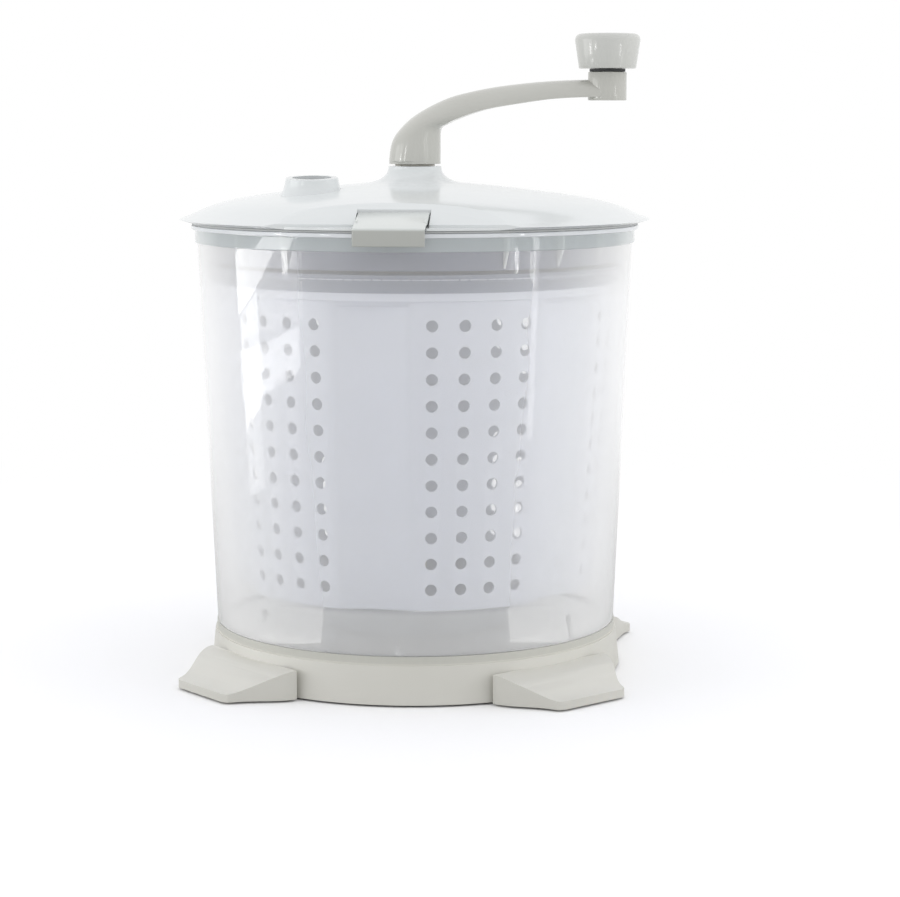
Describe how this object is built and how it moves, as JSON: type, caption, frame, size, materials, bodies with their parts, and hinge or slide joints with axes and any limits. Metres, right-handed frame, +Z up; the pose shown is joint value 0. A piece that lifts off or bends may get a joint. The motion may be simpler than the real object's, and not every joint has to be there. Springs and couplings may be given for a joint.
{
  "type": "manual washing machine",
  "caption": "Hand-cranked washing machine: clear round tub on a splayed-foot base, perforated spin basket, domed lid with pouring hole, flip latches and a crank with a knob.",
  "frame": {"origin": "centre of the footprint, on the surface the suction cups stand on", "axes": "+Z up along the tub and shaft axis, the front latch towards -Y, the crank arm at rest towards +X"},
  "size_m": [0.33, 0.325, 0.4449],
  "materials": {
    "base_plastic": "gloss",
    "lid_plastic": "gloss",
    "clear_plastic": "gloss",
    "basket_plastic": "satin",
    "nylon": "matt",
    "steel": "satin",
    "pale_rubber": "matt",
    "dark_rubber": "matt"
  },
  "bodies": {
    "stand": {"base_housing": "base_plastic", "suction_cup_1": "pale_rubber", "suction_cup_2": "pale_rubber", "suction_cup_3": "pale_rubber", "suction_cup_4": "pale_rubber", "base_screw_1": "steel", "base_screw_2": "steel", "base_screw_3": "steel", "base_screw_4": "steel", "outer_tub": "clear_plastic", "bearing_pedestal": "basket_plastic", "pivot_pin": "steel", "thrust_washer": "nylon"},
    "drain": {"drain_plug": "pale_rubber"},
    "basket": {"wash_basket": "basket_plastic", "basket_bush": "nylon"},
    "lid": {"lid_shell": "lid_plastic", "lid_gasket": "pale_rubber", "shaft_bush": "nylon", "front_latch_pin": "steel", "rear_latch_pin": "steel"},
    "latch_front": {"front_latch": "lid_plastic"},
    "latch_rear": {"rear_latch": "lid_plastic"},
    "crank": {"crank_arm": "lid_plastic", "drive_shaft": "steel", "retaining_ring": "steel", "drive_plate": "basket_plastic", "plate_screw": "steel", "knob_washer": "dark_rubber", "knob_spindle": "steel"},
    "grip": {"knob": "lid_plastic", "knob_cap": "lid_plastic"}
  },
  "joints": [
    {"name": "basket_spin", "type": "hinge", "parent": "stand", "child": "basket", "pos_m": [0, 0, 0.06], "axis": [0, 0, 1], "continuous": true},
    {"name": "lid_lift", "type": "slide", "parent": "stand", "child": "lid", "axis": [0, 0, 1], "range_m": [0, 0.1]},
    {"name": "crank_spin", "type": "hinge", "parent": "lid", "child": "crank", "pos_m": [0, 0, 0.35], "axis": [0, 0, 1], "continuous": true},
    {"name": "knob_spin", "type": "hinge", "parent": "crank", "child": "grip", "pos_m": [0.1344, 0, 0.43], "axis": [0, 0, 1], "continuous": true},
    {"name": "front_latch_flip", "type": "hinge", "parent": "lid", "child": "latch_front", "pos_m": [0, -0.133, 0.3198], "axis": [-1, 0, 0], "range_deg": [0, 60]},
    {"name": "rear_latch_flip", "type": "hinge", "parent": "lid", "child": "latch_rear", "pos_m": [0, 0.133, 0.3198], "axis": [1, 0, 0], "range_deg": [0, 60]},
    {"name": "drain_plug_pull", "type": "slide", "parent": "stand", "child": "drain", "axis": [0, 1, 0], "range_m": [0, 0.03]}
  ],
  "couplings": [
    {"joint": "basket_spin", "follows": "crank_spin", "ratio": 1}
  ]
}
